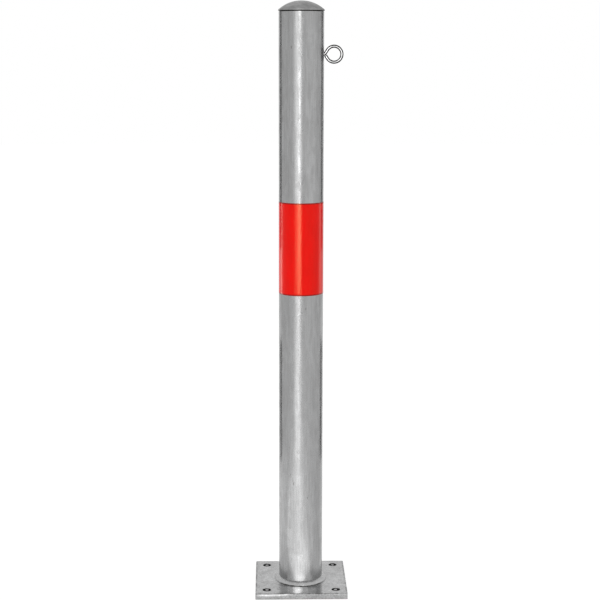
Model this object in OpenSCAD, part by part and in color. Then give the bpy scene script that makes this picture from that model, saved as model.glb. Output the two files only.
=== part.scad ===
// Barrier post for bolting down: a welded steel tube on a square base plate,
// closed by a drive-in domed cap, with one chain eye and one reflective band.
// The origin is the centre of the base plate's underside, +Z is up, and the eye points to +X.

/* [Tube] */
// Outside diameter of the tube
tube_d = 76.1; // [60.3:0.1:101.6]
// Wall thickness of the tube
tube_wall = 2.6; // [2:0.1:4]
// Height of the tube's upper end above the ground
tube_top = 1000; // [800:5:1200]
// Chamfer left on the outside of the tube's upper end
tube_chamfer = 0.6; // [0.2:0.1:1]
// Width of the flash that the tube's own seam leaves inside the bore
seam_w = 1.6; // [0.8:0.1:3]
// Height of that flash
seam_h = 0.35; // [0.1:0.05:0.4]

/* [Base plate] */
// Side of the square base plate
plate_w = 160; // [150:1:220]
// Thickness of the base plate
plate_t = 10; // [6:0.5:15]
// Radius of the plate's upright corners
plate_corner_r = 3; // [1:0.5:8]
// Chamfer along the plate's upper and lower edges
plate_chamfer = 0.8; // [0.2:0.1:1.5]
// Distance between neighbouring anchor holes
anchor_spacing = 120; // [110:1:126]
// Diameter of the anchor holes
anchor_hole_d = 14; // [9:0.5:18]
// Chamfer round the upper mouth of each anchor hole
anchor_hole_chamfer = 0.8; // [0.2:0.1:1.5]
// Diameter of the zinc drain hole under the tube
drain_hole_d = 30; // [15:1:50]

/* [Foot weld] */
// Width of the weld on the plate
weld_leg_plate = 8; // [4:0.5:10]
// Height of the weld on the tube
weld_leg_tube = 6.5; // [4:0.5:10]
// How far the weld's face bulges beyond a straight fillet
weld_bulge = 0.9; // [0.2:0.1:1.5]

/* [Domed cap] */
// How far the cap's rim stands out past the tube
cap_overhang = 0.8; // [0.2:0.05:2]
// Height at which the dome would meet the rim if their corner were sharp
cap_rim_h = 3; // [2:0.5:6]
// Rise of the dome above its rim
cap_rise = 15; // [6:0.5:25]
// Radius that rounds the corner between rim and dome
cap_shoulder_r = 1.2; // [0.4:0.1:2]
// Thickness of the dome
cap_wall = 3; // [2:0.5:5]
// Depth of the cap's skirt inside the tube
skirt_depth = 24; // [10:1:45]
// Thickness of the skirt
skirt_wall = 2.5; // [1.5:0.5:4]
// Height of the relief under the rim that shows as a dark line
rim_relief_h = 1.2; // [0.3:0.1:1.5]
// Depth of that relief, measured inwards from the tube's outside
rim_relief_in = 1.6; // [0.5:0.1:1.8]
// Number of crush ribs that grip the tube
rib_count = 8; // [4:1:12]
// Radius of one crush rib
rib_r = 1.6; // [1.2:0.1:2.4]
// Number of stiffening webs that cross under the dome
web_count = 3; // [2:1:6]
// Thickness of a web
web_t = 2; // [1.5:0.5:4]
// Distance from the tube's upper end down to the lower edge of the webs
web_drop = 5; // [2:0.5:9]

/* [Chain eye] */
// Height of the eye's shank above the ground
eye_z = 930; // [700:1:940]
// Clear width of the eye
eye_clear_d = 21; // [14:0.5:40]
// Diameter of the bar that the eye is bent from
eye_bar_d = 5.3; // [4.3:0.1:8]
// Angle between the shank and each leg of the eye
eye_leg_angle = 58; // [50:1:66]
// Outside diameter of the shank's thread
thread_d = 6; // [6:0.5:10]
// Height of the hexagon nut
nut_h = 5; // [4:0.5:10]
// Width of the nut across its flats
nut_flats = 10; // [10:1:17]
// Outside diameter of the washer
washer_d = 12.5; // [12:0.5:22]
// Thickness of the washer
washer_t = 1.6; // [1:0.1:3]

/* [Reflective band] */
// Height of the band's lower edge above the ground
band_z = 525; // [200:1:600]
// Width of the band
band_h = 158; // [50:1:250]
// Thickness of the film
band_t = 0.3; // [0.2:0.05:0.6]
// Length by which the film's ends lap over each other
band_lap = 14; // [5:1:30]

/* [Hidden] */
$fn = 96;
// A thin amount by which a cutter stands past the faces that it cuts
past = 1;
// Radial clearances: rib to tube, thread to nut, shank to washer, shank to tube wall
rib_clearance = 0.05;
nut_clearance = 0.05;
washer_clearance = 0.2;
wall_clearance = 0.3;
// Gap between the flat washer and the round bore that it bears on
edge_gap = 0.05;

tube_r = tube_d / 2;
bore_r = tube_r - tube_wall;

cap_rim_r = tube_r + cap_overhang;
dome_r = (cap_rim_r * cap_rim_r + cap_rise * cap_rise) / (2 * cap_rise);
dome_z = tube_top + cap_rim_h + cap_rise - dome_r;
// Centre of the shoulder's arc, which touches both the upright rim and the dome
shoulder_x = cap_rim_r - cap_shoulder_r;
shoulder_z = dome_z + sqrt(pow(dome_r - cap_shoulder_r, 2) - pow(shoulder_x, 2));
// The arc turns from level until it points away from the dome's centre
shoulder_turn = atan2(shoulder_z - dome_z, shoulder_x);
rib_tip_r = bore_r - rib_clearance;
// The skirt stands back from the ribs' tips by a third of a rib's radius
skirt_r = rib_tip_r - rib_r / 3;
rib_lead_h = 3;
skirt_bore_r = skirt_r - skirt_wall;

eye_bar_r = eye_bar_d / 2;
eye_ring_r = (eye_clear_d + eye_bar_d) / 2;
// Centre-line radius of the sharp bend between the shank and the first leg
eye_kink_r = 0.57 * eye_bar_d;
// The bend starts inside the hole, this far behind the tube's outer face
eye_kink_inset = 0.4;
eye_kink_x = tube_r - eye_kink_inset;
// The centre lines of both legs and of the shank meet at the apex
eye_kink_tangent = eye_kink_r * tan(eye_leg_angle / 2);
eye_apex_x = eye_kink_x + eye_kink_tangent;
eye_ring_x = eye_apex_x + eye_ring_r / sin(eye_leg_angle);
eye_leg_line = eye_ring_r / tan(eye_leg_angle);
// The loose leg ends this far from the apex, where its cut face just clears the bend's outside
eye_end_gap = 0.2;
eye_end_stop = eye_kink_r + eye_bar_r + eye_end_gap
    - eye_kink_tangent * cos(eye_leg_angle) - eye_kink_r * sin(eye_leg_angle);
thread_chamfer = 0.6;
thread_past_nut = 2.5;
// Straight lengths of bar are this much thinner than its bends, and run this far into them,
// so that the bar joins up as one solid
bar_ease = 0.02;
bar_lap = 0.2;
wall_hole_d = max(thread_d, eye_bar_d) + 2 * wall_clearance;

// The flat washer touches the round bore along two upright edges
washer_x = sqrt(pow(bore_r, 2) - pow(washer_d / 2, 2)) - edge_gap;
nut_x = washer_x - washer_t;
shank_end_x = nut_x - nut_h - thread_past_nut;
nut_corner_r = nut_flats / 2 / cos(30);
nut_countersink = 0.5;

band_r = tube_r + band_t;
lap_angle = band_lap / band_r * 180 / PI;

zinc = [0.66, 0.67, 0.68];
bright_zinc = [0.80, 0.81, 0.83];
film_red = [0.88, 0.08, 0.06];

// Turns a shape drawn round the local Z axis so that it lies along +X at the eye's height
module along_x(x) {
    translate([x, 0, eye_z]) rotate([0, 90, 0]) children();
}

// Lays a shape drawn in the XY plane into the upright plane through the eye, local Y upwards
module in_eye_plane() {
    translate([0, 0, eye_z]) rotate([90, 0, 0]) children();
}

// One bend of the bar: centre, radius, angle where it starts and angle swept
module bar_bend(centre, radius, start, sweep) {
    translate(centre) rotate([0, 0, start])
        rotate_extrude(angle = sweep) translate([radius, 0]) circle(r = eye_bar_r);
}

// One straight length of the bar along a heading, from a point at the end of a bend
module bar_straight(point, heading, length) {
    translate(point) rotate([0, 0, heading]) translate([-bar_lap, 0]) rotate([0, 90, 0])
        cylinder(h = length + bar_lap, r = eye_bar_r - bar_ease);
}

// Threaded shank and the plain neck after it, turned in one profile
module eye_shank() {
    thread_r = thread_d / 2;
    neck_r = eye_bar_r - bar_ease;
    thread_h = washer_x - shank_end_x;
    neck_end = eye_kink_x + bar_lap - shank_end_x;
    along_x(shank_end_x) rotate_extrude() polygon([
        [0, 0],
        [thread_r - thread_chamfer, 0],
        [thread_r, thread_chamfer],
        [thread_r, thread_h],
        [neck_r, thread_h],
        [neck_r, neck_end],
        [0, neck_end]
    ]);
}

// Flash of the tube's own seam, along the back of the bore and rooted in the wall
module seam_flash() {
    translate([-seam_w / 2, bore_r - seam_h, plate_t])
        cube([seam_w, seam_h + tube_wall / 2, tube_top - plate_t]);
}

// Welded tube, cut square below, chamfered outside above, drilled for the eye's shank
module tube() {
    color(zinc) difference() {
        union() {
            rotate_extrude() polygon([
                [bore_r, plate_t],
                [tube_r, plate_t],
                [tube_r, tube_top - tube_chamfer],
                [tube_r - tube_chamfer, tube_top],
                [bore_r, tube_top]
            ]);
            seam_flash();
        }
        along_x(0) cylinder(h = tube_r + past, d = wall_hole_d);
    }
}

// Square with rounded corners, made of two bars and four discs
module plate_outline() {
    inner = plate_w - 2 * plate_corner_r;
    square([plate_w, inner], center = true);
    square([inner, plate_w], center = true);
    for (x = [-1, 1], y = [-1, 1])
        translate([x * inner / 2, y * inner / 2]) circle(r = plate_corner_r);
}

// Wedge that takes one edge of the plate off at 45 degrees, along the whole side
module edge_cutter() {
    side = plate_chamfer * sqrt(2);
    rotate([45, 0, 0]) cube([plate_w + 2 * past, side, side], center = true);
}

// Cutter for one anchor hole, chamfered at its upper mouth
module anchor_hole() {
    mouth_r = anchor_hole_d / 2 + anchor_hole_chamfer;
    translate([0, 0, -past]) cylinder(h = plate_t + 2 * past, d = anchor_hole_d);
    translate([0, 0, plate_t - anchor_hole_chamfer])
        cylinder(h = anchor_hole_chamfer + past, r1 = anchor_hole_d / 2, r2 = mouth_r + past);
}

// Plate with four anchor holes and a drain hole that lets the zinc bath out of the tube
module base_plate() {
    color(zinc) difference() {
        linear_extrude(plate_t) plate_outline();
        for (x = [-1, 1], y = [-1, 1])
            translate([x * anchor_spacing / 2, y * anchor_spacing / 2]) anchor_hole();
        translate([0, 0, -past]) cylinder(h = plate_t + 2 * past, d = drain_hole_d);
        for (turn = [0 : 90 : 270], z = [0, plate_t])
            rotate([0, 0, turn]) translate([0, plate_w / 2, z]) edge_cutter();
    }
}

// Fillet weld round the tube's foot; its face is a parabola bulging off the straight fillet
module base_weld() {
    steps = 8;
    leg = [weld_leg_plate, weld_leg_tube];
    outward = [leg.y, leg.x] / norm(leg);
    face = [for (i = [0 : steps])
        let (t = i / steps, bulge = 4 * weld_bulge * t * (1 - t))
        [tube_r + leg.x * (1 - t) + outward.x * bulge, plate_t + leg.y * t + outward.y * bulge]];
    color(zinc) rotate_extrude() polygon(concat([[tube_r, plate_t]], face));
}

// Half-section of the cap's outside: upright rim, rounded shoulder and dome, with no hollow
module cap_outline() {
    steps = 6;
    shoulder = [for (i = [0 : steps])
        let (turn = shoulder_turn * i / steps)
        [shoulder_x, shoulder_z] + cap_shoulder_r * [cos(turn), sin(turn)]];
    dome_foot = shoulder[steps];
    polygon(concat([[0, tube_top], [cap_rim_r, tube_top]], shoulder, [[0, dome_foot.y]]));
    intersection() {
        translate([0, dome_z]) circle(r = dome_r);
        translate([0, dome_foot.y]) square([dome_foot.x, dome_z + dome_r]);
    }
}

// Half-section of the hollow inside the dome and the skirt
module cap_hollow() {
    bottom = tube_top - skirt_depth - past;
    translate([0, bottom]) square([skirt_bore_r, tube_top - bottom]);
    intersection() {
        translate([0, dome_z]) circle(r = dome_r - cap_wall);
        translate([0, bottom]) square([skirt_bore_r, dome_z + dome_r - bottom]);
    }
}

// Half-section of the cap without its ribs and webs
module cap_section() {
    difference() {
        union() {
            cap_outline();
            translate([0, tube_top - skirt_depth]) square([skirt_r, skirt_depth]);
        }
        cap_hollow();
        translate([tube_r - rim_relief_in, tube_top - past])
            square([cap_rim_r, rim_relief_h + past]);
    }
}

// Webs that cross in the middle of the hollow and end in the skirt and the dome
module cap_webs() {
    reach = skirt_r - skirt_wall / 2;
    intersection() {
        for (i = [0 : web_count - 1]) rotate([0, 0, i * 180 / web_count])
            translate([-reach, -web_t / 2, tube_top - web_drop])
                cube([2 * reach, web_t, web_drop + cap_rim_h + cap_rise]);
        translate([0, 0, dome_z]) sphere(r = dome_r - cap_wall / 2);
        translate([0, 0, tube_top - web_drop - past])
            cylinder(h = web_drop + cap_rim_h + cap_rise + past, r = reach);
    }
}

// Upright half-round rib with a pointed lower end that leads it into the tube
module crush_rib() {
    translate([rib_tip_r - rib_r, 0, tube_top - skirt_depth]) {
        cylinder(h = rib_lead_h, r1 = rib_r / 2, r2 = rib_r);
        translate([0, 0, rib_lead_h]) cylinder(h = skirt_depth - rib_lead_h, r = rib_r);
    }
}

// Drive-in cap: dome, upright rim, skirt, webs and crush ribs in one piece
module dome_cap() {
    color(zinc) union() {
        rotate_extrude() cap_section();
        cap_webs();
        difference() {
            for (i = [0 : rib_count - 1]) rotate([0, 0, (i + 0.5) * 360 / rib_count]) crush_rib();
            translate([0, 0, tube_top - skirt_depth - past])
                cylinder(h = skirt_depth + 2 * past, r = skirt_r - skirt_wall / 2);
        }
    }
}

// Bent eye: threaded shank, kink at the tube, leg, ring, and a loose leg cut off short of the kink
module eye_bolt() {
    kink = [eye_kink_x, eye_kink_r, 0];
    ring = [eye_ring_x, 0, 0];
    leg_normal = [sin(eye_leg_angle), -cos(eye_leg_angle), 0];
    kink_end = kink + eye_kink_r * leg_normal;
    ring_end = ring - eye_ring_r * [leg_normal.x, -leg_normal.y, 0];
    color(bright_zinc) union() {
        in_eye_plane() {
            bar_bend(kink, eye_kink_r, -90, eye_leg_angle);
            bar_straight(kink_end, eye_leg_angle, eye_leg_line - eye_kink_tangent + bar_lap);
            bar_bend(ring, eye_ring_r, -90 - eye_leg_angle, 180 + 2 * eye_leg_angle);
            bar_straight(ring_end, 180 - eye_leg_angle, eye_leg_line - eye_end_stop);
        }
        eye_shank();
    }
}

// Plain washer inside the tube, resting on the bore along two upright edges
module eye_washer() {
    color(bright_zinc) along_x(nut_x) difference() {
        cylinder(h = washer_t, d = washer_d);
        translate([0, 0, -past])
            cylinder(h = washer_t + 2 * past, d = thread_d + 2 * washer_clearance);
    }
}

// Hexagon nut, its six corners turned off and its bore countersunk at both faces
module eye_nut() {
    corner_cut = nut_corner_r - nut_flats / 2;
    bore = thread_d / 2 + nut_clearance;
    color(bright_zinc) along_x(nut_x - nut_h) difference() {
        intersection() {
            cylinder(h = nut_h, r = nut_corner_r, $fn = 6);
            rotate_extrude() polygon([
                [0, 0],
                [nut_flats / 2, 0],
                [nut_corner_r, corner_cut],
                [nut_corner_r, nut_h - corner_cut],
                [nut_flats / 2, nut_h],
                [0, nut_h]
            ]);
        }
        translate([0, 0, -past]) cylinder(h = nut_h + 2 * past, r = bore);
        for (flip = [0, 1]) translate([0, 0, flip * nut_h]) mirror([0, 0, flip])
            cylinder(h = nut_countersink, r1 = bore + nut_countersink, r2 = bore);
    }
}

// Sector of a ring between two radii, over an angle that starts at the back of the post
module back_sector(inner_r, outer_r, sweep) {
    reach = 2 * outer_r;
    rotate([0, 0, 90]) intersection() {
        difference() {
            circle(r = outer_r);
            circle(r = inner_r);
        }
        polygon([[0, 0], [reach, 0], [reach * cos(sweep), reach * sin(sweep)]]);
    }
}

// Film wrapped once round the tube, its outer end lapped over the inner one at the back
module reflective_band() {
    color(film_red) translate([0, 0, band_z]) linear_extrude(band_h) union() {
        difference() {
            circle(r = band_r);
            circle(r = tube_r);
        }
        back_sector(band_r, band_r + band_t, lap_angle);
    }
}

tube();
base_plate();
base_weld();
dome_cap();
eye_bolt();
eye_washer();
eye_nut();
reflective_band();
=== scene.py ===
import logging
import math
from dataclasses import dataclass, replace
from enum import Enum

import bpy
import numpy as np
from mathutils import Matrix, Vector


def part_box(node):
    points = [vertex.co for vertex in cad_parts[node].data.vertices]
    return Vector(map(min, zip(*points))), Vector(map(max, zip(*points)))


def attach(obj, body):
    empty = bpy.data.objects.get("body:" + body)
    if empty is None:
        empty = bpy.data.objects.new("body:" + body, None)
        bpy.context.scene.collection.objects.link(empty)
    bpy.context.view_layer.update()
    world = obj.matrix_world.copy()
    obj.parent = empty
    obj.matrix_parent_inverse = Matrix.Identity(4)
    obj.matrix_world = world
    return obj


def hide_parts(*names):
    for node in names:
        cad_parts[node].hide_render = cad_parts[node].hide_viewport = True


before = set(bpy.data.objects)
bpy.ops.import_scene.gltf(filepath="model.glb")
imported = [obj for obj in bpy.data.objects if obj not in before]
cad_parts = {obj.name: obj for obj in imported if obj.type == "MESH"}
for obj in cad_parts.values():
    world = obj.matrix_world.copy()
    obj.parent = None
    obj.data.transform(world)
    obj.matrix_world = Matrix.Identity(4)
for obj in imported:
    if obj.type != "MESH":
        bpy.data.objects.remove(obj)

MM = 0.001
TAU = 2.0 * math.pi
BODY = "root"
log = logging.getLogger("barrier_post")


class Ray(Enum):
    """Kinds of ray that see the plain white background."""

    CAMERA = "Is Camera Ray"
    GLOSSY = "Is Glossy Ray"
    TRANSMISSION = "Is Transmission Ray"


class Ends(Enum):
    """How a surface is closed at the two ends of its length."""

    JOINED = "joined"
    CAPPED = "capped"


class Outline(Enum):
    """Outlines of the studio's lights."""

    BOX = "RECTANGLE"
    OVAL = "ELLIPSE"


class Nodes:
    """Short way to write a material's node tree.

    Args:
        tree: the node tree to fill; what it holds is cleared first.
    """

    def __init__(self, tree: bpy.types.NodeTree) -> None:
        """Clears the tree and keeps it."""
        self.tree = tree
        tree.nodes.clear()

    def add(self, kind: str, settings: dict | None = None, **sockets: object) -> bpy.types.Node:
        """Adds one node.

        Args:
            kind: the node's type name, without its ShaderNode prefix.
            settings: values of the node's own properties.
            sockets: values or outputs for its inputs, underscores standing for spaces; a name such as
                in0 means the input with that number.

        Returns:
            The new node.
        """
        node = self.tree.nodes.new("ShaderNode" + kind)
        for name, value in (settings or {}).items():
            setattr(node, name, value)
        for name, value in sockets.items():
            numbered = name.startswith("in") and name[2:].isdigit()
            socket = node.inputs[int(name[2:])] if numbered else node.inputs[name.replace("_", " ")]
            self.feed(socket, value)
        return node

    def feed(self, socket: bpy.types.NodeSocket, value: object) -> None:
        """Links an output to the socket, or sets the socket's own value.

        Args:
            socket: the input to feed.
            value: an output socket, a number or a tuple.
        """
        if isinstance(value, bpy.types.NodeSocket):
            self.tree.links.new(value, socket)
        else:
            socket.default_value = value

    def place(self, scale: tuple[float, float, float]) -> bpy.types.NodeSocket:
        """Object coordinates in metres, stretched by a scale for each axis.

        Args:
            scale: how many pattern units go into a metre along each axis.

        Returns:
            The stretched coordinates.
        """
        where = self.add("TexCoord").outputs["Object"]
        return self.add("Mapping", Vector=where, Scale=scale).outputs["Vector"]

    def axes(self) -> tuple[bpy.types.NodeSocket, bpy.types.NodeSocket, bpy.types.NodeSocket]:
        """Object coordinates in metres: one output each for X, Y and Z."""
        parts = self.add("SeparateXYZ", Vector=self.add("TexCoord").outputs["Object"]).outputs
        return parts["X"], parts["Y"], parts["Z"]

    def noise(self, scale: tuple[float, float, float], detail: float, roughness: float = 0.5,
              distortion: float = 0.0) -> bpy.types.NodeSocket:
        """Fractal noise between 0 and 1 over stretched Object coordinates.

        Args:
            scale: pattern units to a metre along each axis.
            detail: number of octaves.
            roughness: how strong each finer octave is.
            distortion: how far the pattern is warped.

        Returns:
            The noise's value.
        """
        made = self.add("TexNoise", Vector=self.place(scale), Scale=1.0, Detail=detail,
                        Roughness=roughness, Distortion=distortion)
        return made.outputs["Fac"]

    def cells(self, scale: tuple[float, float, float]) -> bpy.types.Node:
        """Voronoi cells over stretched Object coordinates."""
        return self.add("TexVoronoi", Vector=self.place(scale), Scale=1.0)

    def ramp(self, value: bpy.types.NodeSocket, low: float, high: float,
             out_low: float = 0.0, out_high: float = 1.0) -> bpy.types.NodeSocket:
        """Maps a value from one range smoothly into another, held at both ends.

        Args:
            value: the value to map.
            low: where the range begins.
            high: where the range ends.
            out_low: result at and below low.
            out_high: result at and above high.

        Returns:
            The mapped value.
        """
        made = self.add("MapRange", {"interpolation_type": "SMOOTHSTEP"}, Value=value)
        for name, number in (("From Min", low), ("From Max", high),
                             ("To Min", out_low), ("To Max", out_high)):
            made.inputs[name].default_value = number
        return made.outputs["Result"]

    def math(self, kind: str, first: object, second: object) -> bpy.types.NodeSocket:
        """One sum, product or other operation on two values."""
        return self.add("Math", {"operation": kind}, in0=first, in1=second).outputs[0]

    def times(self, first: object, *others: object) -> bpy.types.NodeSocket:
        """Product of two or more values.

        Args:
            first: a number or an output.
            others: more of them.

        Returns:
            The product.
        """
        for value in others:
            first = self.math("MULTIPLY", first, value)
        return first

    def plus(self, first: object, second: object) -> bpy.types.NodeSocket:
        """Sum of two values."""
        return self.math("ADD", first, second)

    def minus(self, first: object, second: object) -> bpy.types.NodeSocket:
        """First value less the second."""
        return self.math("SUBTRACT", first, second)

    def greater(self, first: object, second: object) -> bpy.types.NodeSocket:
        """The greater of two values."""
        return self.math("MAXIMUM", first, second)

    def size(self, value: object) -> bpy.types.NodeSocket:
        """A value without its sign."""
        return self.math("ABSOLUTE", value, 0.0)

    def distance(self, first: object, second: object) -> bpy.types.NodeSocket:
        """Root of the sum of two squares."""
        return self.math("SQRT", self.plus(self.times(first, first), self.times(second, second)), 0.0)

    def blend(self, share: object, first: object, second: object) -> bpy.types.NodeSocket:
        """Mixes two colours, from the first at share 0 to the second at share 1.

        Args:
            share: how much of the second colour.
            first: a colour or a colour output.
            second: a colour or a colour output.

        Returns:
            The mixed colour.
        """
        made = self.add("Mix", {"data_type": "RGBA"}, in0=share, in6=first, in7=second)
        return made.outputs[2]

    def bump(self, height: bpy.types.NodeSocket, distance: float,
             after: bpy.types.NodeSocket | None = None) -> bpy.types.NodeSocket:
        """Bumps the surface by a height between 0 and 1.

        Args:
            height: the height's value.
            distance: the real height of a value of 1, in metres.
            after: the normal of an earlier bump, if any.

        Returns:
            The bent normal.
        """
        made = self.add("Bump", Height=height, Strength=1.0, Distance=distance)
        if after is not None:
            self.feed(made.inputs["Normal"], after)
        return made.outputs["Normal"]

    def finish(self, shader: bpy.types.Node, kind: str = "OutputMaterial") -> None:
        """Puts the shader on the surface of the material, or of the world with OutputWorld."""
        end = self.add(kind)
        self.tree.links.new(shader.outputs[0], end.inputs["Surface"])


def grey(level: float, warmth: float = 0.0) -> tuple[float, float, float, float]:
    """A linear grey, a little warmer or cooler than neutral.

    Args:
        level: the grey's linear value.
        warmth: share added to red and taken from blue.

    Returns:
        The colour with an alpha of 1.
    """
    return (level * (1.0 + warmth), level, level * (1.0 - warmth), 1.0)


def new_object(name: str, data: bpy.types.ID) -> bpy.types.Object:
    """Puts a mesh, light or camera into the scene, at the origin.

    Args:
        name: the object's name.
        data: its mesh, light or camera.

    Returns:
        The object.
    """
    made = bpy.data.objects.new(name, data)
    bpy.context.scene.collection.objects.link(made)
    return made


def new_coat(name: str) -> tuple[bpy.types.Material, Nodes]:
    """Makes a material with an empty node tree.

    Args:
        name: the material's name.

    Returns:
        The material, and the writer of its nodes.
    """
    made = bpy.data.materials.new(name)
    made.use_nodes = True
    return made, Nodes(made.node_tree)


@dataclass(frozen=True)
class PlatePaintedLight:
    """Painted shade and a painted glint on the base plate, and a darker line along its upper edges.

    Attributes:
        half: half the side of the plate, in metres.
        top_z: height of its upper face.
        toe_r: radius of the line where the weld meets the plate.
        edge: width of its bevelled edge.
        hole_at: distance of the holes' axes from the plate's middle planes.
        hole_r: radius of the holes.
        level: linear value of the painted shade.
        glint_level: linear value of the painted glint.
        glint_depth: how far below the upper face the painted glint sits in each hole.
    """

    half: float
    top_z: float
    toe_r: float
    edge: float = 0.8 * MM
    hole_at: float = 60.0 * MM
    hole_r: float = 7.0 * MM
    level: float = 0.035
    glint_level: float = 0.85
    glint_depth: float = 3.3 * MM

    def from_hole(self, n: Nodes) -> tuple[bpy.types.NodeSocket, bpy.types.NodeSocket]:
        """How far each place is from the axis of the nearest hole.

        Args:
            n: the node tree of the plate's material.

        Returns:
            The distance along X, and the whole distance in the plate's plane.
        """
        x, y, _ = n.axes()
        aside = n.minus(n.size(x), self.hole_at)
        ahead = n.minus(n.size(y), self.hole_at)
        return n.size(aside), n.distance(aside, ahead)

    def share(self, n: Nodes) -> bpy.types.NodeSocket:
        """How much painted shade and darkening lies at each place, from 0 to 1.

        It is the greatest of three shares. The first is painted shade high on the wall of each hole,
        except where the painted glint lies. The second is a darker line along the upper edges. The third
        is painted shade that falls off with the distance from the weld's toe, and is weaker beside the
        weld than before and behind it. A noise breaks up the last two.

        Args:
            n: the node tree of the plate's material.

        Returns:
            The share.
        """
        x, y, z = n.axes()
        across, along = n.size(x), n.size(y)
        _, reach = self.from_hole(n)
        # Painted shade high on the wall of each hole.
        wall = n.ramp(reach, self.hole_r + 0.1 * MM, self.hole_r + 0.5 * MM, out_low=0.95, out_high=0.0)
        bore = n.times(wall, n.minus(1.0, self.painted_glint(n)))
        # A darker broken line along the upper edges.
        rim = n.ramp(n.greater(across, along), self.half - 4.5 * self.edge, self.half - 2.0 * self.edge)
        above = n.ramp(z, self.top_z - 1.3 * self.edge, self.top_z - 0.6 * self.edge)
        broken = n.ramp(n.noise((95.0, 95.0, 95.0), detail=3.0, roughness=0.6), 0.36, 0.6,
                        out_low=0.15, out_high=0.9)
        line = n.times(rim, above, n.times(broken, 0.75))
        # Painted shade round the weld's toe, weaker beside the weld.
        settled = n.ramp(n.distance(across, along), self.toe_r + 1.0 * MM, self.toe_r + 2.8 * MM,
                         out_low=1.0, out_high=0.0)
        beside = n.ramp(across, 0.55 * self.toe_r, 0.98 * self.toe_r, out_low=1.0, out_high=0.15)
        toe = n.times(settled, beside, n.plus(n.times(broken, 0.5), 0.42))
        return n.greater(n.greater(bore, line), toe)

    def painted_glint(self, n: Nodes) -> bpy.types.NodeSocket:
        """How much painted glint lies at each place: a pale, dull patch high up in each hole, front and
        back.

        Args:
            n: the node tree of the plate's material.

        Returns:
            The share.
        """
        aside, reach = self.from_hole(n)
        wall = n.math("LESS_THAN", reach, self.hole_r + 0.2 * MM)
        middle = n.ramp(aside, 0.25 * self.hole_r, 0.55 * self.hole_r, out_low=1.0, out_high=0.0)
        off = n.size(n.minus(n.axes()[2], self.top_z - self.glint_depth))
        deep = n.ramp(off, 1.0 * MM, 1.9 * MM, out_low=1.0, out_high=0.0)
        return n.times(middle, deep, wall)


@dataclass(frozen=True)
class ToePaintedShade:
    """Painted shade in the corner between the weld and the plate.

    Attributes:
        foot_z: height of the plate's upper face, in metres.
        toe_r: radius of the line where the weld meets the plate.
        reach: how far up the weld the painted shade reaches.
        level: linear value of the painted shade.
    """

    foot_z: float
    toe_r: float
    reach: float = 1.5 * MM
    level: float = 0.035

    def share(self, n: Nodes) -> bpy.types.NodeSocket:
        """How much painted shade lies at each place: most at the plate, none above the reach, less beside.

        Args:
            n: the node tree of the weld's material.

        Returns:
            The share.
        """
        x, _, z = n.axes()
        patchy = n.ramp(n.noise((150.0, 150.0, 150.0), detail=3.0, roughness=0.6), 0.3, 0.62,
                        out_low=0.6, out_high=1.0)
        # Painted shade near the plate.
        near = n.ramp(z, self.foot_z + 0.4 * self.reach, self.foot_z + self.reach,
                      out_low=1.0, out_high=0.0)
        beside = n.ramp(n.size(x), 0.55 * self.toe_r, 0.98 * self.toe_r, out_low=1.0, out_high=0.25)
        return n.times(near, patchy, beside)


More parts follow.
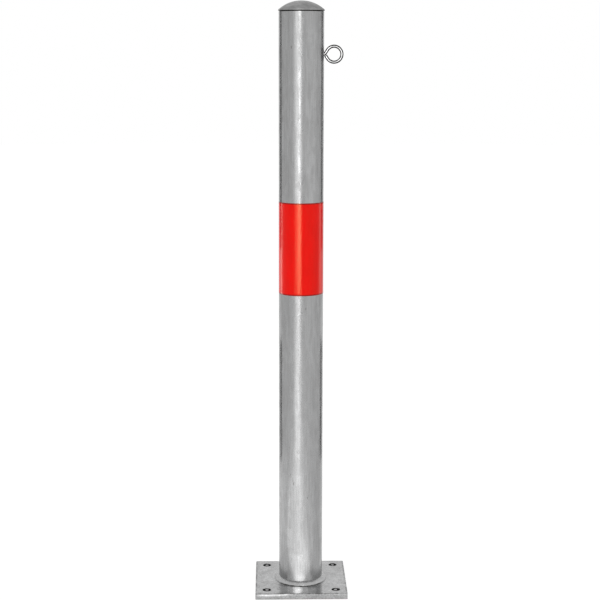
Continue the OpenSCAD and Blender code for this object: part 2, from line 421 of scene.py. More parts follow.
@dataclass(frozen=True)
class GalvanisedZinc:
    """Hot-dip zinc coat: a satin metal with spangle, run marks and small dull patches.

    Attributes:
        name: the material's name.
        dark: linear value of the coat's dull patches.
        light: linear value of its bright patches.
        roughness: middle roughness of the coat.
        stretch: how much longer the run marks are upwards than across.
        wave: height of the coat's slow unevenness, in metres.
        ripple: height of its finer unevenness, a few millimetres across.
        step: height from one crystal of the spangle to the next.
        grain: height of its finest grain.
        marks: how many small dark marks go into a metre along each axis.
        pit_share: how strongly pits and marks show.
        pit_tone: their tone, as a share of the dull patches' value.
        painted_light: the painted shade, and on the plate the painted glints, if any.
    """

    name: str
    dark: float = 0.255
    light: float = 0.355
    roughness: float = 0.28
    stretch: float = 12.0
    wave: float = 0.00007
    ripple: float = 0.00007
    step: float = 0.000006
    grain: float = 0.00003
    marks: tuple[float, float, float] = (62.0, 62.0, 22.0)
    pit_share: float = 0.6
    pit_tone: float = 0.35
    painted_light: PlatePaintedLight | ToePaintedShade | None = None

    def material(self) -> bpy.types.Material:
        """Builds the coat's material.

        Returns:
            The material.
        """
        made, n = new_coat(self.name)
        streaks = n.noise((300.0, 300.0, 300.0 / self.stretch), detail=6.0, roughness=0.62, distortion=0.3)
        clouds = n.noise((42.0, 42.0, 17.0), detail=5.0, roughness=0.6, distortion=0.4)
        spangle = n.cells((130.0, 130.0, 90.0))
        crystal = n.add("SeparateColor", Color=spangle.outputs["Color"]).outputs[0]
        pits = n.cells((210.0, 210.0, 120.0)).outputs["Distance"]
        marks = n.cells(self.marks)
        chosen = n.add("SeparateColor", Color=marks.outputs["Color"]).outputs[1]
        spot = n.ramp(marks.outputs["Distance"], 0.03, 0.085, out_low=1.0, out_high=0.0)
        mark = n.times(spot, n.math("GREATER_THAN", chosen, 0.62))
        pit = n.greater(n.ramp(pits, 0.035, 0.075, out_low=1.0, out_high=0.0), mark)
        # The tone is half streaks, about a third clouds, and the rest spangle.
        patch = n.plus(n.times(n.ramp(streaks, 0.32, 0.68), 0.5), n.times(n.ramp(clouds, 0.3, 0.72), 0.35))
        tone = n.plus(patch, n.times(crystal, 0.15))
        coat = n.blend(tone, grey(self.dark), grey(self.light, warmth=-0.006))
        colour = n.blend(n.times(pit, self.pit_share), coat, grey(self.dark * self.pit_tone, warmth=0.03))
        metallic = 1.0
        # Painted shade in the holes and at the weld's toe, and a darker line along the plate's upper
        # edges.
        if self.painted_light:
            colour = n.blend(self.painted_light.share(n), colour, grey(self.painted_light.level, warmth=0.06))
        # Painted glint: a pale, dull patch high up in each hole.
        if isinstance(self.painted_light, PlatePaintedLight):
            painted_glint = self.painted_light.painted_glint(n)
            colour = n.blend(painted_glint, colour, grey(self.painted_light.glint_level))
            metallic = n.minus(1.0, painted_glint)
        rough = n.ramp(n.plus(n.times(streaks, 0.6), n.times(crystal, 0.4)), 0.2, 0.8,
                       out_low=self.roughness + 0.07, out_high=self.roughness - 0.06)
        slow = n.noise((30.0, 30.0, 7.0), detail=2.0, roughness=0.45, distortion=0.2)
        fine = n.noise((900.0, 900.0, 300.0), detail=4.0, roughness=0.6)
        normal = n.bump(slow, self.wave)
        normal = n.bump(n.noise((170.0, 170.0, 40.0), detail=4.0, roughness=0.62), self.ripple, normal)
        normal = n.bump(crystal, self.step, normal)
        normal = n.bump(fine, self.grain, normal)
        n.finish(n.add("BsdfPrincipled", Base_Color=colour, Metallic=metallic, Roughness=rough,
                       Normal=normal))
        return made


@dataclass(frozen=True)
class BrightZinc:
    """Electroplated zinc: a smooth bright coat with a faint haze.

    Attributes:
        name: the material's name.
        level: linear value of the coat.
        roughness: its roughness.
        scuff: height of its fine scuffs, in metres.
        flank_shade: linear value of the painted shade on a ring's flanks, if it is a ring.
        outline: share of the mirror image that is left where the coat is seen almost edge on.
    """

    name: str
    level: float = 0.3
    roughness: float = 0.2
    scuff: float = 0.000006
    flank_shade: float | None = None
    outline: float = 1.0

    def material(self) -> bpy.types.Material:
        """Builds the plated coat's material.

        On a ring that lies in the plane of X and Z, the colour stays bright where it faces along Y, and
        where it faces straight out of or into the ring. Painted shade lies between these, for the dark
        outlines that the ring's flanks mirror.

        Returns:
            The material.
        """
        made, n = new_coat(self.name)
        haze = n.noise((420.0, 420.0, 420.0), detail=4.0, roughness=0.6)
        scuffs = n.noise((2600.0, 2600.0, 2600.0), detail=2.0, roughness=0.5)
        dull, clean = grey(self.level * 0.82, warmth=0.01), grey(self.level, warmth=-0.01)
        colour = n.blend(n.ramp(haze, 0.35, 0.7), dull, clean)
        # Painted shade on the ring's flanks.
        if self.flank_shade is not None:
            normal = n.add("TexCoord").outputs["Normal"]
            facing = n.size(n.add("SeparateXYZ", Vector=normal).outputs["Y"])
            front = n.ramp(facing, 0.95, 0.993)
            edge = n.ramp(facing, 0.12, 0.3, out_low=1.0, out_high=0.0)
            colour = n.blend(n.greater(front, edge), grey(self.flank_shade), colour)
        rough = n.ramp(haze, 0.3, 0.7, out_low=self.roughness + 0.05, out_high=self.roughness - 0.04)
        n.finish(n.add("BsdfPrincipled", Base_Color=colour, Metallic=1.0, Roughness=rough,
                       Specular_Tint=grey(self.outline), Normal=n.bump(scuffs, self.scuff)))
        return made


@dataclass(frozen=True)
class CastMetal:
    """Pressure-cast aluminium left as it came out of the die: matt, dark and finely grained.

    Attributes:
        name: the material's name.
        gap_shade_top: height up to which painted shade fills the gap above the tube's end, in metres.
        level: linear value of the casting.
        gap_shade: linear value of the painted shade in that gap.
        roughness: its roughness.
        flow: height of the flow marks, in metres.
        grain: height of the grain.
    """

    name: str
    gap_shade_top: float = 1.0013
    level: float = 0.27
    gap_shade: float = 0.02
    roughness: float = 0.5
    flow: float = 0.00012
    grain: float = 0.00003

    def material(self) -> bpy.types.Material:
        """Builds the casting's material.

        Returns:
            The material.
        """
        made, n = new_coat(self.name)
        flow = n.noise((48.0, 48.0, 60.0), detail=5.0, roughness=0.6, distortion=0.8)
        grain = n.noise((1500.0, 1500.0, 1500.0), detail=3.0, roughness=0.6)
        metal = n.blend(n.ramp(flow, 0.3, 0.7), grey(self.level * 0.8), grey(self.level * 1.2))
        # Painted shade in the gap between the cap and the tube's end.
        gap = n.ramp(n.axes()[2], self.gap_shade_top, self.gap_shade_top + 0.3 * MM, out_low=1.0, out_high=0.0)
        colour = n.blend(gap, metal, grey(self.gap_shade, warmth=0.08))
        rough = n.ramp(flow, 0.3, 0.7, out_low=self.roughness + 0.08, out_high=self.roughness - 0.05)
        normal = n.bump(grain, self.grain, n.bump(flow, self.flow))
        n.finish(n.add("BsdfPrincipled", Base_Color=colour, Metallic=1.0, Roughness=rough, Normal=normal))
        return made


@dataclass(frozen=True)
class ReflectiveFilm:
    """Red reflective film: fine glass beads in a clear glossy top coat.

    Attributes:
        name: the material's name.
        low_z: height of the film's lower edge, in metres.
        high_z: height of its upper edge.
        red: linear colour of the film.
        glow: tint of the light that the beads send back.
        edge_darkening: linear colour of the darker band along the two edges.
        edge_darkening_share: how strongly it shows.
        edge_darkening_reach: how far it reaches in from them, in metres.
        roughness: roughness of the top coat.
        gloss: specular level of the top coat.
        sag: height of the film's slow unevenness, in metres.
        bead: height of the beads.
    """

    name: str
    low_z: float
    high_z: float
    red: tuple[float, float, float] = (0.82, 0.001, 0.003)
    glow: tuple[float, float, float] = (1.0, 0.78, 0.42)
    edge_darkening: tuple[float, float, float] = (0.11, 0.004, 0.006)
    edge_darkening_share: float = 0.72
    edge_darkening_reach: float = 3.0 * MM
    roughness: float = 0.19
    gloss: float = 0.2
    sag: float = 0.00012
    bead: float = 0.000012

    def material(self) -> bpy.types.Material:
        """Builds the film's material.

        Returns:
            The material.
        """
        made, n = new_coat(self.name)
        beads = n.cells((2400.0, 2400.0, 2400.0)).outputs["Distance"]
        cloud = n.noise((60.0, 60.0, 24.0), detail=3.0, roughness=0.5)
        deep = tuple(0.93 * c for c in self.red) + (1.0,)
        colour = n.blend(n.ramp(cloud, 0.3, 0.7), deep, self.red + (1.0,))
        # Darker colour along the film's two edges.
        from_middle = n.size(n.minus(n.axes()[2], (self.low_z + self.high_z) / 2.0))
        to_edge = (self.high_z - self.low_z) / 2.0
        edge_darkening = n.ramp(from_middle, to_edge - self.edge_darkening_reach, to_edge - 0.45 * self.edge_darkening_reach,
                      out_low=0.0, out_high=self.edge_darkening_share)
        colour = n.blend(edge_darkening, colour, self.edge_darkening + (1.0,))
        normal = n.bump(n.noise((34.0, 34.0, 9.0), detail=2.0, roughness=0.4), self.sag)
        normal = n.bump(beads, self.bead, normal)
        n.finish(n.add("BsdfPrincipled", Base_Color=colour, Roughness=self.roughness,
                       Specular_IOR_Level=self.gloss, Specular_Tint=self.glow + (1.0,), Normal=normal))
        return made


def slow_wave(turn: np.ndarray, orders: range, rng: np.random.Generator) -> np.ndarray:
    """Smooth random height round a circle, between about -1 and 1.

    The height is a sum of cosines of whole multiples of the angle, each with a random phase and a
    random size, divided by the root of their number.

    Args:
        turn: the angles, in radians.
        orders: the multiples of the angle to add up.
        rng: the seeded source of the phases and sizes.

    Returns:
        The height at each angle.
    """
    order = np.array(orders, float)
    phase = rng.uniform(0.0, TAU, len(order))
    size = rng.uniform(0.4, 1.0, len(order))
    waves = np.cos(turn[..., None] * order + phase) * size
    return waves.sum(axis=-1) / math.sqrt(len(order))


def smooth_step(value: np.ndarray) -> np.ndarray:
    """Rises from 0 to 1 as three times the square less twice the cube, and is held outside."""
    held = np.clip(value, 0.0, 1.0)
    return held * held * (3.0 - 2.0 * held)


def surface(name: str, points: np.ndarray, ends: Ends, sharp: float) -> bpy.types.Object:
    """Makes a closed mesh from a grid of points that is joined round its second direction.

    Quad (i, j) joins the points (i, j), (i + 1, j), (i + 1, j + 1) and (i, j + 1). A capped surface
    gets a point in the middle of its first and of its last row, and a fan of triangles to each. The
    faces are turned round if the sum of the signed volumes under them comes out negative.

    Args:
        name: name of the new object.
        points: rows by columns by three, in metres.
        ends: whether the last row joins the first, or both ends are capped.
        sharp: edges that bend by more than this stay sharp, in degrees.

    Returns:
        The new object, with its origin at the frame's.
    """
    rows, cols = points.shape[:2]
    joined = ends is Ends.JOINED
    row, col = np.meshgrid(np.arange(rows if joined else rows - 1), np.arange(cols), indexing="ij")
    next_row, next_col = (row + 1) % rows, (col + 1) % cols
    quads = np.stack([row * cols + col, next_row * cols + col,
                      next_row * cols + next_col, row * cols + next_col], axis=-1).reshape(-1, 4)
    corners = points.reshape(-1, 3)
    fans = np.empty((0, 3), int)
    if not joined:
        around = np.arange(cols)
        ahead = (around + 1) % cols
        first, last = len(corners), len(corners) + 1
        low = np.column_stack([np.full(cols, first), around, ahead])
        start = (rows - 1) * cols
        high = np.column_stack([np.full(cols, last), start + ahead, start + around])
        fans = np.concatenate([low, high])
        corners = np.concatenate([corners, points[:1].mean(axis=1), points[-1:].mean(axis=1)])
    triangles = np.concatenate([quads[:, [0, 1, 2]], quads[:, [0, 2, 3]], fans])
    a, b, c = (corners[triangles[:, k]] for k in range(3))
    if np.einsum("ij,ij->i", a, np.cross(b, c)).sum() < 0.0:
        quads, fans = quads[:, ::-1], fans[:, ::-1]
    mesh = bpy.data.meshes.new(name)
    mesh.from_pydata(corners.tolist(), [], quads.tolist() + fans.tolist())
    mesh.polygons.foreach_set("use_smooth", np.ones(len(mesh.polygons), bool))
    mesh.set_sharp_from_angle(angle=math.radians(sharp))
    return new_object(name, mesh)


def stand_for(piece: bpy.types.Object, node: str, coat: bpy.types.Material) -> bpy.types.Object:
    """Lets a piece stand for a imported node, on the same body.

    Args:
        piece: the finished piece.
        node: the node that it replaces.
        coat: its material.

    Returns:
        The piece.
    """
    piece.data.materials.append(coat)
    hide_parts(node)
    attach(piece, BODY)
    log.info("%s replaces %s with %d faces", piece.name, node, len(piece.data.polygons))
    return piece


@dataclass
class FootWeld:
    """Rippled fillet weld round the tube's foot.

    Attributes:
        tube_r: outside radius of the tube, in metres.
        foot_z: height of the plate's upper face.
        toe_r: radius of the weld's outer edge.
        top_z: height of the weld's upper edge.
        bulge: how far the face stands proud of a straight fillet.
        ripples: number of ripples round the tube.
        ripple_h: height of a ripple.
        drift: how far the two edges wander.
        lumps: share by which the ripples' height varies round the tube.
        stagger: how far the ripples stray from even spacing, in ripples.
        bow: how far a ripple's ends lag behind its middle, in ripples.
        hollow: how deep the valleys between the ripples go, up to 1.
        per_ripple: points along each ripple.
        steps: points from the toe to the top.
        back_steps: points along each hidden side, its two ends among them.
        seed: seed of the slow waves.
    """

    tube_r: float
    foot_z: float
    toe_r: float
    top_z: float
    bulge: float = 0.95 * MM
    ripples: int = 92
    ripple_h: float = 0.42 * MM
    drift: float = 0.35 * MM
    lumps: float = 0.45
    stagger: float = 0.35
    bow: float = 0.55
    hollow: float = 0.92
    per_ripple: int = 12
    steps: int = 25
    back_steps: int = 5
    seed: int = 11

    def build(self) -> bpy.types.Object:
        """Makes the bead.

        At each angle the face runs from the toe to the top. It is a straight line plus a bulge of four
        times f times one less f, where f goes from 0 at the toe to 1 at the top, plus a ripple whose
        phase falls back with the square of 2 f - 1, which bows it like a scale. The ripple's height
        is the root of one less the hollow times the square of its phase, counted from -1 to 1, and
        fades towards both edges with the root of the sine of pi f. Two more stretches close the
        section along the plate and the tube.

        Returns:
            The bead's object.
        """
        rng = np.random.default_rng(self.seed)
        around = self.per_ripple * self.ripples
        turn = np.arange(around) * TAU / around
        f = np.linspace(0.0, 1.0, self.steps)
        toe = self.toe_r - self.drift * (1.0 + slow_wave(turn, range(3, 34), rng))
        top = self.top_z - self.drift * (1.0 + slow_wave(turn, range(3, 34), rng))
        lump = 1.0 + self.lumps * slow_wave(turn, range(2, 26), rng)
        uneven = self.stagger * slow_wave(turn, range(2, 18), rng)
        phase = self.ripples * turn[:, None] / TAU + uneven[:, None] - self.bow * (2.0 * f - 1.0) ** 2
        local = 2.0 * (phase % 1.0) - 1.0
        fade = np.sin(math.pi * f) ** 0.5
        scale = np.sqrt(1.0 - self.hollow * local ** 2) * fade * self.ripple_h * lump[:, None]
        rise = 4.0 * f * (1.0 - f) * self.bulge + scale - 0.5 * self.ripple_h * fade
        out = np.array([self.top_z - self.foot_z, self.toe_r - self.tube_r])
        out /= np.hypot(*out)
        radius = toe[:, None] + (self.tube_r - toe[:, None]) * f + out[0] * rise
        height = self.foot_z + (top[:, None] - self.foot_z) * f + out[1] * rise
        back = np.linspace(1.0, 0.0, self.back_steps)[1:-1]
        wall_r = np.full((around, len(back) + 1), self.tube_r)
        wall_z = self.foot_z + (top[:, None] - self.foot_z) * np.append(back, 0.0)
        base_r = self.tube_r + (toe[:, None] - self.tube_r) * (1.0 - back)
        base_z = np.full((around, len(back)), self.foot_z)
        radius = np.concatenate([np.maximum(radius, self.tube_r), wall_r, base_r], axis=1)
        height = np.concatenate([np.maximum(height, self.foot_z), wall_z, base_z], axis=1)
        points = np.stack([radius * np.cos(turn)[:, None], radius * np.sin(turn)[:, None], height],
                          axis=-1)
        return surface("rippled_weld", points, Ends.JOINED, 75.0)


@dataclass
class ChainEye:
    """Bar bent into an eye, with a threaded shank.

    The bar lies in the plane of X and Z. Distances run along its centre line from the shank's end.

    Attributes:
        tip_x: where the shank ends inside the tube, in metres.
        reach_x: how far out the ring reaches.
        axis_z: height of the shank.
        neck_x: where the bend at the tube begins.
        clear_r: inner radius of the ring.
        bar_r: radius of the bar.
        thread_r: outer radius of the thread.
        thread_l: length of the thread.
        pitch: distance from one thread to the next.
        leg_angle: angle between the shank and each leg, in radians.
        kink: centre-line radius of the bend at the tube, in bar diameters.
        end_gap: gap between the loose leg's cut face and the bend.
        depth: depth of the thread, in pitches.
        steep: how steep the thread's flanks are.
        root: how wide its root is.
        run_out: length over which it runs out, in pitches.
        ease_l: length over which the cut end draws in.
        ease: share of the radius by which it draws in.
        around: points round the bar.
        thread_n: points along the thread.
        plain_n: points along the rest of the shank.
        leg_n: points along the bend at the tube, and along the first leg.
        ring_n: points along the ring.
        loose_n: points along the loose leg.
    """

    tip_x: float
    reach_x: float
    axis_z: float
    neck_x: float
    clear_r: float = 10.5 * MM
    bar_r: float = 2.65 * MM
    thread_r: float = 3.0 * MM
    thread_l: float = 9.1 * MM
    pitch: float = 1.0 * MM
    leg_angle: float = math.radians(58.0)
    kink: float = 0.57
    end_gap: float = 0.2 * MM
    depth: float = 0.61
    steep: float = 2.2
    root: float = 0.5
    run_out: float = 1.2
    ease_l: float = 0.35 * MM
    ease: float = 0.12
    around: int = 40
    thread_n: int = 220
    plain_n: int = 10
    leg_n: int = 14
    ring_n: int = 150
    loose_n: int = 12

    def arc(self, centre: tuple[float, float], radius: float, start: float, sweep: float,
            count: int) -> np.ndarray:
        """Points of an arc and the heading at each.

        A point is the centre plus the radius times the cosine and sine of its angle, and the heading
        is a quarter turn ahead of that angle.

        Args:
            centre: the arc's centre in X and Z.
            radius: its radius.
            start: angle of its first point.
            sweep: angle that it covers.
            count: number of points.

        Returns:
            One row of X, Z and heading for each point.
        """
        angle = start + sweep * np.linspace(0.0, 1.0, count)
        return np.column_stack([centre[0] + radius * np.cos(angle), centre[1] + radius * np.sin(angle),
                                angle + math.pi / 2.0])

    def line(self, start: np.ndarray, heading: float, length: float, count: int) -> np.ndarray:
        """Points of a straight length after its start, with the same heading at each.

        Args:
            start: its first point in X and Z, which is left out.
            heading: its direction, in radians.
            length: its length.
            count: number of points.

        Returns:
            One row of X, Z and heading for each point.
        """
        step = length * np.arange(1, count + 1) / count
        return np.column_stack([start[0] + step * math.cos(heading), start[1] + step * math.sin(heading),
                                np.full(count, heading)])

    def centre_line(self) -> np.ndarray:
        """Shank, bend, first leg, ring and loose leg, one after another.

        Returns:
            One row of X, Z and heading for each ring of the bar's skin.
        """
        ring_r = self.clear_r + self.bar_r
        kink_r = self.kink * 2.0 * self.bar_r
        angle = self.leg_angle
        tangent = kink_r * math.tan(angle / 2.0)
        leg = ring_r / math.tan(angle)
        stop = (kink_r + self.bar_r + self.end_gap
                - tangent * math.cos(angle) - kink_r * math.sin(angle))
        ring = (self.reach_x - ring_r - self.bar_r, self.axis_z)
        tip = np.array([self.tip_x, self.axis_z])
        plain = self.neck_x - self.tip_x - self.thread_l
        bend = self.arc((self.neck_x, self.axis_z + kink_r), kink_r, -math.pi / 2.0, angle, self.leg_n)
        parts = [np.array([[self.tip_x, self.axis_z, 0.0]]),
                 self.line(tip, 0.0, self.thread_l, self.thread_n),
                 self.line(tip + [self.thread_l, 0.0], 0.0, plain, self.plain_n),
                 bend[1:]]
        parts.append(self.line(parts[-1][-1, :2], angle, leg - tangent, self.leg_n))
        start = math.pi - (math.pi / 2.0 - angle)
        sweep = -(math.pi + 2.0 * angle)
        parts.append(self.arc(ring, ring_r, start, sweep, self.ring_n)[1:])
        # The ring is run clockwise, so its heading is half a turn back.
        parts[-1][:, 2] -= math.pi
        parts.append(self.line(parts[-1][-1, :2], math.pi - angle, leg - stop, self.loose_n))
        return np.concatenate(parts)

    def build(self) -> bpy.types.Object:
        """Carries a circle along the centre line.

        Each ring of points is the centre plus the radius times the cosine of the angle round the bar
        across the heading, in the eye's plane, and times its sine along Y. On the shank the radius
        follows a screw: its depth is a clipped triangle wave of the distance over the pitch less the
        angle over a full turn. A chamfer cuts it back at the tip, and it runs out smoothly at its
        other end. The last rings draw in, which takes the sharp edge off the cut face.

        Returns:
            The eye's object.
        """
        path = self.centre_line()
        step = np.hypot(np.diff(path[:, 0]), np.diff(path[:, 1]))
        run = np.concatenate([[0.0], np.cumsum(step)])
        turn = np.arange(self.around) * TAU / self.around
        screw = (run[:, None] / self.pitch - turn / TAU) % 1.0
        tooth = np.clip(self.steep * np.abs(2.0 * screw - 1.0) - self.root, 0.0, 1.0)
        depth = self.depth * self.pitch
        on_shank = smooth_step((self.thread_l - run) / (self.run_out * self.pitch))[:, None]
        threaded = self.thread_r - depth * (1.0 - tooth)
        chamfer = self.thread_r - depth + run[:, None]
        radius = self.bar_r + (np.minimum(threaded, chamfer) - self.bar_r) * on_shank
        left = (run[-1] - run)[:, None] / self.ease_l
        radius = radius * (1.0 - self.ease * np.clip(1.0 - left, 0.0, 1.0) ** 2)
        across = np.column_stack([-np.sin(path[:, 2]), np.cos(path[:, 2])])
        x = path[:, :1] + radius * np.cos(turn) * across[:, :1]
        z = path[:, 1:2] + radius * np.cos(turn) * across[:, 1:]
        points = np.stack([x, radius * np.sin(turn), z], axis=-1)
        return surface("threaded_eye", points, Ends.CAPPED, 50.0)


@dataclass
class WoundFilm:
    """Strip of film wound once round the tube and lapped over its own start at the back.

    Attributes:
        tube_r: outside radius of the tube, in metres.
        low_z: height of the strip's lower edge.
        high_z: height of its upper edge.
        thick: thickness of the film.
        lap: length of the lap.
        climb: length over which the outer end climbs onto the inner one.
        edge: how far the film thins out towards its long edges.
        around: points along the strip.
        edge_n: points across each rounded edge.
        face_n: points across the outer face between them.
        inner_n: points across the inner face.
    """

    tube_r: float
    low_z: float
    high_z: float
    thick: float = 0.3 * MM
    lap: float = 14.0 * MM
    climb: float = 5.0 * MM
    edge: float = 0.5 * MM
    around: int = 420
    edge_n: int = 5
    face_n: int = 33
    inner_n: int = 9

    def build(self) -> bpy.types.Object:
        """Winds the strip.

        The angle runs from the back once round and on over the lap. The strip's inner face lies on
        the tube, and over the climb before a full turn it rises by one thickness along a smooth step.
        Its outer face is one thickness further out, less a quarter circle at each long edge. The
        section is joined round, and both ends are capped.

        Returns:
            The strip's object.
        """
        over = self.lap / (self.tube_r + self.thick)
        full = np.linspace(0.0, TAU + over, self.around)
        ramp = self.climb / self.tube_r
        inner = self.tube_r + self.thick * smooth_step((full - TAU + ramp) / ramp)
        quarter = np.linspace(0.0, math.pi / 2.0, self.edge_n)
        span = self.high_z - self.low_z
        middle = np.linspace(self.edge, span - self.edge, self.face_n)[1:-1]
        outer_z = np.concatenate([self.edge * (1.0 - np.cos(quarter)), middle,
                                  span - self.edge * (1.0 - np.cos(quarter[::-1]))])
        outer_t = np.concatenate([np.sin(quarter), np.ones(len(middle)), np.sin(quarter[::-1])])
        inner_z = np.linspace(span, 0.0, self.inner_n)[1:-1]
        z = self.low_z + np.concatenate([outer_z, inner_z])
        proud = self.thick * np.concatenate([outer_t, np.zeros(len(inner_z))])
        radius = inner[:, None] + proud
        angle = full[:, None] + math.pi / 2.0
        points = np.stack([radius * np.cos(angle), radius * np.sin(angle),
                           np.broadcast_to(z, radius.shape)], axis=-1)
        return surface("wound_film", points, Ends.CAPPED, 60.0)


@dataclass(frozen=True)
class Panel:
    """A soft light or a card near the post, which stands and faces it or lies on the floor.

    Attributes:
        name: its name.
        azimuth: degrees from -Y towards +X at which its middle is.
        distance: distance of its middle from the post's axis, in metres.
        width: its width, in metres.
        length: its height where it stands and its length where it lies, in metres.
        power: its power, in watts; a card has none.
        height: height of its middle, in metres.
        aim: height on the post's axis that it faces, where it stands.
    """

    name: str
    azimuth: float
    distance: float
    width: float
    length: float
    power: float = 0.0
    height: float = 1.0
    aim: float = 0.5

    def middle(self) -> Vector:
        """Its middle: the distance times the sine and less the cosine of the azimuth, at its height."""
        turn = math.radians(self.azimuth)
        return Vector((self.distance * math.sin(turn), -self.distance * math.cos(turn), self.height))

    def light(self, outline: Outline) -> bpy.types.Object:
        """Makes a light of its size and power, which no camera sees.

        Args:
            outline: the light's outline.

        Returns:
            The light, not yet in its place.
        """
        data = bpy.data.lights.new(self.name, "AREA")
        data.shape = outline.value
        data.size, data.size_y = self.width, self.length
        data.energy = self.power
        made = new_object(self.name, data)
        made.visible_camera = False
        return made

    def stand(self, made: bpy.types.Object) -> None:
        """Stands an object in its place, with the object's Z axis pointing away from the post.

        Args:
            made: the object, whose face points along its own Z axis if it is a card and back along it if
                it is a light.
        """
        at = self.middle()
        look = at - Vector((0.0, 0.0, self.aim))
        made.matrix_world = Matrix.Translation(at) @ look.to_track_quat("Z", "Y").to_matrix().to_4x4()

    def standing_light(self) -> bpy.types.Object:
        """Stands a rectangular soft light that faces the post.

        Returns:
            The light.
        """
        made = self.light(Outline.BOX)
        self.stand(made)
        return made

    def lying_light(self) -> bpy.types.Object:
        """Lays a soft round light that faces up, its length pointing away from the post.

        Returns:
            The light.
        """
        made = self.light(Outline.OVAL)
        made.matrix_world = (Matrix.Translation(self.middle())
                             @ Matrix.Rotation(math.radians(self.azimuth), 4, "Z")
                             @ Matrix.Rotation(math.pi, 4, "X"))
        return made

    def card(self, level: float) -> None:
        """Stands a card that only shiny surfaces show: half its width and length each way.

        Args:
            level: the card's linear value.
        """
        half = np.array([[-1, -1], [1, -1], [1, 1], [-1, 1]]) * np.array([self.width, self.length]) / 2.0
        mesh = bpy.data.meshes.new(self.name)
        mesh.from_pydata(np.column_stack([half, np.zeros(4)]).tolist(), [], [[0, 1, 2, 3]])
        paint, n = new_coat(self.name)
        n.finish(n.add("BsdfDiffuse", Color=grey(level)))
        mesh.materials.append(paint)
        made = new_object(self.name, mesh)
        self.stand(made)
        made.visible_camera = False
        made.visible_diffuse = False
        made.visible_transmission = False
        made.visible_shadow = False


def only_for(made: bpy.types.Object, *pieces: bpy.types.Object) -> None:
    """Lets only some pieces mirror a light.

    Args:
        made: the light.
        pieces: the pieces that mirror it.
    """
    seen_by = bpy.data.collections.new(made.name)
    for piece in pieces:
        seen_by.objects.link(piece)
    made.light_linking.receiver_collection = seen_by
    made.visible_diffuse = False


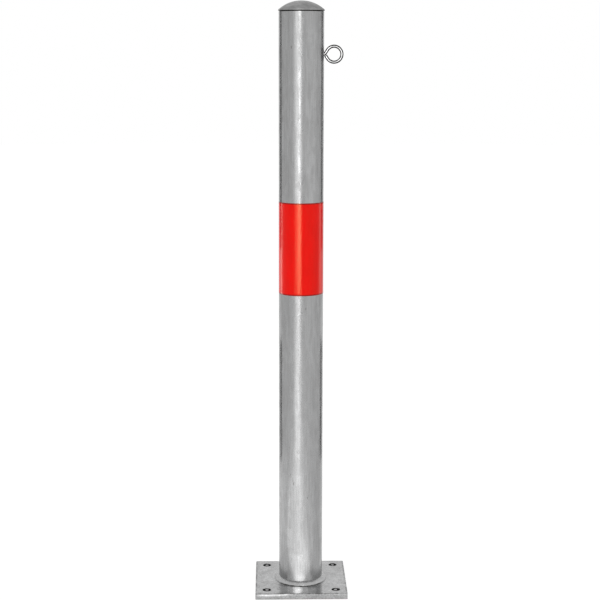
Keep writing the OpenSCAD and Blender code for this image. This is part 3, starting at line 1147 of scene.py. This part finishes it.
@dataclass(frozen=True)
class Studio:
    """White studio: floor, background, soft lights and the photo's viewpoint.

    The key panel and the narrower key strip give the tube its bright highlight, brightest in the
    strip's part, and the fill lights its right side.
    The floor lights stand for the bright patches that the key light makes on a paper floor, which the
    foot of the post mirrors. The cards stand close behind the post on both sides, so that the plate
    mirrors them only from steep views, and leave a gap at the film's height, so that the film doesn't.

    Attributes:
        camera_at: the camera's place, in metres.
        camera_pitch: how far it looks down, in radians.
        camera_yaw: how far it is turned from +Y towards +X, in radians.
        camera_roll: how far it is rolled, in radians.
        focal_px: focal length in pixels of the square picture.
        picture_px: width of the square picture.
        sensor: width of the camera's sensor, in millimetres.
        even_light: strength of the even light from all round.
        floor_r: radius of the round floor, in metres.
        floor_level: linear value of the floor's paint.
        floor_glow: strength at which the open floor and its own light come out white.
        floor_keep: share of the real light and shadow that the floor shows.
        plate_half: half the side of the base plate, under which the floor stays dark.
        card_level: linear value of the black cards.
        soft_boxes: the lights that stand round the post.
        floor_lights: the lights that lie on the floor.
        cards: the black cards on the right; the left has the same.
        plate_lights: lights that lie on the plate, for the foot of the tube and the weld.
        weld_lights: lights that stand at the weld, for the plate.
        film_lights: lights that only the film mirrors.
    """

    camera_at: tuple[float, float, float] = (-0.05457, -2.32116, 0.90988)
    camera_pitch: float = 0.16962
    camera_yaw: float = 0.022771
    camera_roll: float = 0.001493
    focal_px: float = 1364.5
    picture_px: float = 600.0
    sensor: float = 36.0
    even_light: float = 0.6
    floor_r: float = 14.0
    floor_level: float = 0.86
    floor_glow: float = 1.3
    floor_keep: float = 0.35
    plate_half: float = 0.08
    card_level: float = 0.02
    # Each line gives a panel's name, azimuth, distance, width and length, and then the rest by name.
    soft_boxes: tuple[Panel, ...] = (
        Panel("key_panel", -19.5, 2.4, 1.25, 2.0, power=9.0),
        Panel("key_strip", -9.6, 2.4, 0.32, 2.0, power=5.8),
        Panel("right_fill", 49.0, 2.4, 2.8, 2.0, power=4.2),
    )
    floor_lights: tuple[Panel, ...] = (
        Panel("near_patch", -22.0, 0.5, 0.84, 0.74, power=1.2, height=0.003),
        Panel("near_middle", -17.0, 0.48, 0.36, 0.77, power=0.85, height=0.003),
        Panel("far_patch", -17.0, 1.6, 0.8, 1.9, power=4.6, height=0.003),
        Panel("near_right", 24.0, 0.56, 0.7, 0.86, power=0.42, height=0.003),
        Panel("foot_right", 24.0, 0.18, 0.11, 0.15, power=0.028, height=0.003),
        Panel("near_left", -100.0, 0.5, 0.7, 0.6, power=0.3, height=0.003),
    )
    cards: tuple[Panel, ...] = (
        Panel("low_flag", 118.5, 0.151, 0.041, 0.223, height=0.306, aim=0.306),
        Panel("high_flag", 118.5, 0.151, 0.041, 0.461, height=0.816, aim=0.816),
    )
    plate_lights: tuple[Panel, ...] = (
        Panel("plate_glint", -5.0, 0.067, 0.055, 0.03, power=0.0068, height=0.0106),
        Panel("plate_sheen", -5.0, 0.06, 0.12, 0.06, power=0.0075, height=0.0103),
    )
    weld_lights: tuple[Panel, ...] = (
        Panel("tube_glint", -7.5, 0.0472, 0.066, 0.0125, power=0.00038, height=0.0167, aim=0.0167),
        Panel("tube_glint", -7.5, 0.0474, 0.036, 0.0125, power=0.0003, height=0.0167, aim=0.0167),
        Panel("tube_glint", -7.5, 0.0476, 0.017, 0.0125, power=0.0003, height=0.0167, aim=0.0167),
        Panel("tube_glint", -7.5, 0.0478, 0.0095, 0.0125, power=0.00016, height=0.0167, aim=0.0167),
    )
    film_lights: tuple[Panel, ...] = (
        Panel("film_glow", -9.5, 2.4, 0.72, 2.0, power=56.0),
        Panel("film_glow_side", -24.0, 2.4, 0.7, 2.0, power=18.0),
        Panel("film_left_rim", -122.0, 1.2, 0.34, 1.4, power=5.0, height=0.5),
        Panel("film_right_rim", 112.0, 1.2, 0.34, 1.4, power=2.0, height=0.5),
    )

    def camera(self) -> None:
        """Makes the camera and looks through it."""
        data = bpy.data.cameras.new("camera")
        data.sensor_width = self.sensor
        data.lens = self.focal_px / self.picture_px * self.sensor
        made = new_object("camera", data)
        sin_p, cos_p = math.sin(self.camera_pitch), math.cos(self.camera_pitch)
        sin_y, cos_y = math.sin(self.camera_yaw), math.cos(self.camera_yaw)
        ahead = Vector((sin_y * cos_p, cos_y * cos_p, -sin_p))
        right = Vector((cos_y, -sin_y, 0.0))
        up = right.cross(ahead)
        roll = self.camera_roll
        right, up = (right * math.cos(roll) + up * math.sin(roll),
                     up * math.cos(roll) - right * math.sin(roll))
        turn = Matrix((right, up, -ahead)).transposed().to_4x4()
        made.matrix_world = Matrix.Translation(self.camera_at) @ turn
        bpy.context.scene.camera = made

    def white_share(self, n: Nodes) -> bpy.types.NodeSocket:
        """1 for the rays that see the plain white background, and 0 for light on the object.

        Args:
            n: the node tree that needs the value.

        Returns:
            The share's output.
        """
        path = n.add("LightPath")
        share = path.outputs[Ray.CAMERA.value]
        for ray in (Ray.GLOSSY, Ray.TRANSMISSION):
            share = n.greater(share, path.outputs[ray.value])
        return share

    def background(self) -> None:
        """Lights the scene evenly and shows white behind the object."""
        world = bpy.data.worlds.new("studio")
        world.use_nodes = True
        bpy.context.scene.world = world
        n = Nodes(world.node_tree)
        level = n.greater(self.white_share(n), self.even_light)
        n.finish(n.add("Background", Color=grey(1.0), Strength=level), "OutputWorld")

    def floor(self) -> None:
        """Lays a round white floor that keeps part of the object's shadow.

        The disc is one face: corner k stands at the floor's radius times the cosine and sine of k
        turns over the number of corners.
        """
        corners = 128
        turn = np.arange(corners) * TAU / corners
        ring = self.floor_r * np.column_stack([np.cos(turn), np.sin(turn), 0.0 * turn])
        mesh = bpy.data.meshes.new("floor")
        mesh.from_pydata(ring.tolist(), [], [list(range(corners))])
        made = new_object("floor", mesh)
        paint, n = new_coat("floor_white")
        x, y, _ = n.axes()
        open_floor = n.math("GREATER_THAN", n.greater(n.size(x), n.size(y)), self.plate_half)
        share = n.times(self.white_share(n), 1.0 - self.floor_keep, open_floor)
        lit = n.add("BsdfDiffuse", Color=grey(self.floor_level))
        plain = n.add("Emission", Color=grey(1.0), Strength=self.floor_glow)
        n.finish(n.add("MixShader", in0=share, in1=lit.outputs[0], in2=plain.outputs[0]))
        mesh.materials.append(paint)

    def foot_glints(self, tube: bpy.types.Object, bead: bpy.types.Object,
                    plate: bpy.types.Object) -> None:
        """Adds the small glints where the post and its plate mirror each other.

        Each light stands where the other's bright streak would be. Two lie on the plate and show in
        the foot of the tube and in the weld. Four stand at the weld and show in the plate: each
        is narrower than the one behind it, so the streak fades out sideways. They are a little apart,
        because lights that stand in one plane hide each other.

        Args:
            tube: the tube.
            bead: the weld.
            plate: the base plate.
        """
        for glint in self.plate_lights:
            only_for(glint.lying_light(), tube, bead)
        for glint in self.weld_lights:
            standing = glint.standing_light()
            standing.matrix_world = standing.matrix_world @ Matrix.Rotation(math.pi, 4, "Y")
            only_for(standing, plate)

    def build(self) -> None:
        """Sets up all but the lights that only some pieces mirror."""
        self.camera()
        self.background()
        self.floor()
        for box in self.soft_boxes:
            box.standing_light()
        for patch in self.floor_lights:
            patch.lying_light()
        for side in (-1, 1):
            for card in self.cards:
                replace(card, azimuth=card.azimuth * side).card(self.card_level)
        bpy.context.scene.view_settings.view_transform = "Standard"


def main() -> None:
    """Builds the studio and dresses the post."""
    logging.basicConfig(level=logging.INFO, format="%(name)s: %(message)s")
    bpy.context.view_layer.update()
    studio = Studio()
    studio.build()
    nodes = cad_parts
    tube_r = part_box("tube")[1].x
    plate_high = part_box("base_plate")[1]
    weld_low, weld_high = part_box("base_weld")
    film_low, film_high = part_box("reflective_band")
    eye_low, eye_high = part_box("eye_bolt")
    tube_zinc = GalvanisedZinc("tube_zinc").material()
    plate_painted_light = PlatePaintedLight(plate_high.x, plate_high.z, weld_high.x)
    plate_zinc = GalvanisedZinc("plate_zinc", dark=0.24, light=0.53, roughness=0.22, stretch=1.0,
                                marks=(70.0, 70.0, 70.0), painted_light=plate_painted_light).material()
    bead_zinc = GalvanisedZinc("bead_zinc", dark=0.34, light=0.48, stretch=1.0,
                               painted_light=ToePaintedShade(plate_high.z, weld_high.x)).material()
    bright = BrightZinc("bright_zinc").material()
    cast = CastMetal("cast_cap").material()
    film = ReflectiveFilm("red_film", film_low.z, film_high.z).material()
    weld = FootWeld(tube_r, weld_low.z, weld_high.x, weld_high.z)
    bead = stand_for(weld.build(), "base_weld", bead_zinc)
    studio.foot_glints(nodes["tube"], bead, nodes["base_plate"])
    # The eye's bend begins just inside the tube's outer face.
    neck_x = tube_r - 0.4 * MM
    eye = ChainEye(eye_low.x, eye_high.x, (eye_low.z + eye_high.z) / 2.0, neck_x)
    # The eye gets painted shade on its flanks.
    shade_outlined = BrightZinc("shade_outlined_zinc", level=0.88, flank_shade=0.012, outline=0.08).material()
    stand_for(eye.build(), "eye_bolt", shade_outlined)
    strip = WoundFilm(tube_r, film_low.z, film_high.z)
    band = stand_for(strip.build(), "reflective_band", film)
    for glow in studio.film_lights:
        only_for(glow.standing_light(), band)
    dress = {
        "tube": tube_zinc,
        "base_plate": plate_zinc,
        "dome_cap": cast,
        "eye_washer": bright,
        "eye_nut": bright,
    }
    for name, coat in dress.items():
        node = nodes[name]
        node.data.materials.clear()
        node.data.materials.append(coat)
        log.info("%s wears %s", name, coat.name)


if __name__ == "__main__":
    main()
